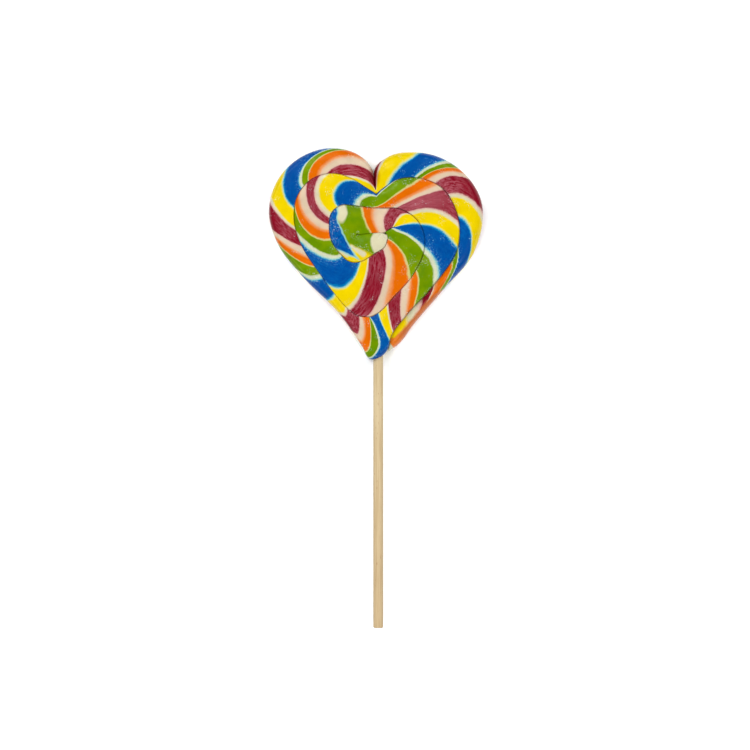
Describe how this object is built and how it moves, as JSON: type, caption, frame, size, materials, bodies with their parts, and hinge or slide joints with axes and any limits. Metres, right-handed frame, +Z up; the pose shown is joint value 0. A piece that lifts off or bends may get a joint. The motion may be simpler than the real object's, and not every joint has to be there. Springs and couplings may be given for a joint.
{
  "type": "swirl lollipop",
  "caption": "Heart-shaped swirl lollipop: a striped boiled-sugar rope coiled flat into a heart, on a straight round wooden stick",
  "frame": {"origin": "the middle of the lollipop's box in plan, on the surface that it lies on", "axes": "+Z up out of the candy's shown face, +Y along the stick towards the heart's lobes, +X to the right of the upright heart"},
  "size_m": [0.0854, 0.1918, 0.011],
  "materials": {
    "boiled_sugar": "glossy boiled sugar, striped",
    "wood": "plain sanded wood"
  },
  "bodies": {
    "root": {"candy": "boiled_sugar", "stick": "wood"}
  },
  "joints": []
}
